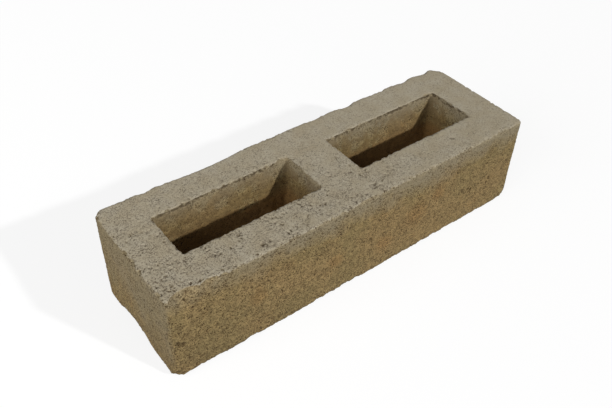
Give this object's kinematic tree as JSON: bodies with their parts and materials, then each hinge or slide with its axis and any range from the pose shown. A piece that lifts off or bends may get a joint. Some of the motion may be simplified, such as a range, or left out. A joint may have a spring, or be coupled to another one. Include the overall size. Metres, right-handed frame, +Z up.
{
  "type": "cored concrete brick",
  "caption": "Long masonry brick of pressed concrete, with rectangular cores right through it that save weight and can take grout and bars.",
  "frame": {"origin": "the middle of the bottom bed face, on the web between the cores", "axes": "+X along the brick, +Y across it towards its back face, +Z up through the cores towards the struck face"},
  "size_m": [0.29, 0.09, 0.07],
  "materials": {
    "concrete": "rough, open sand texture, unpainted"
  },
  "bodies": {
    "root": {"brick": "concrete"}
  },
  "joints": []
}
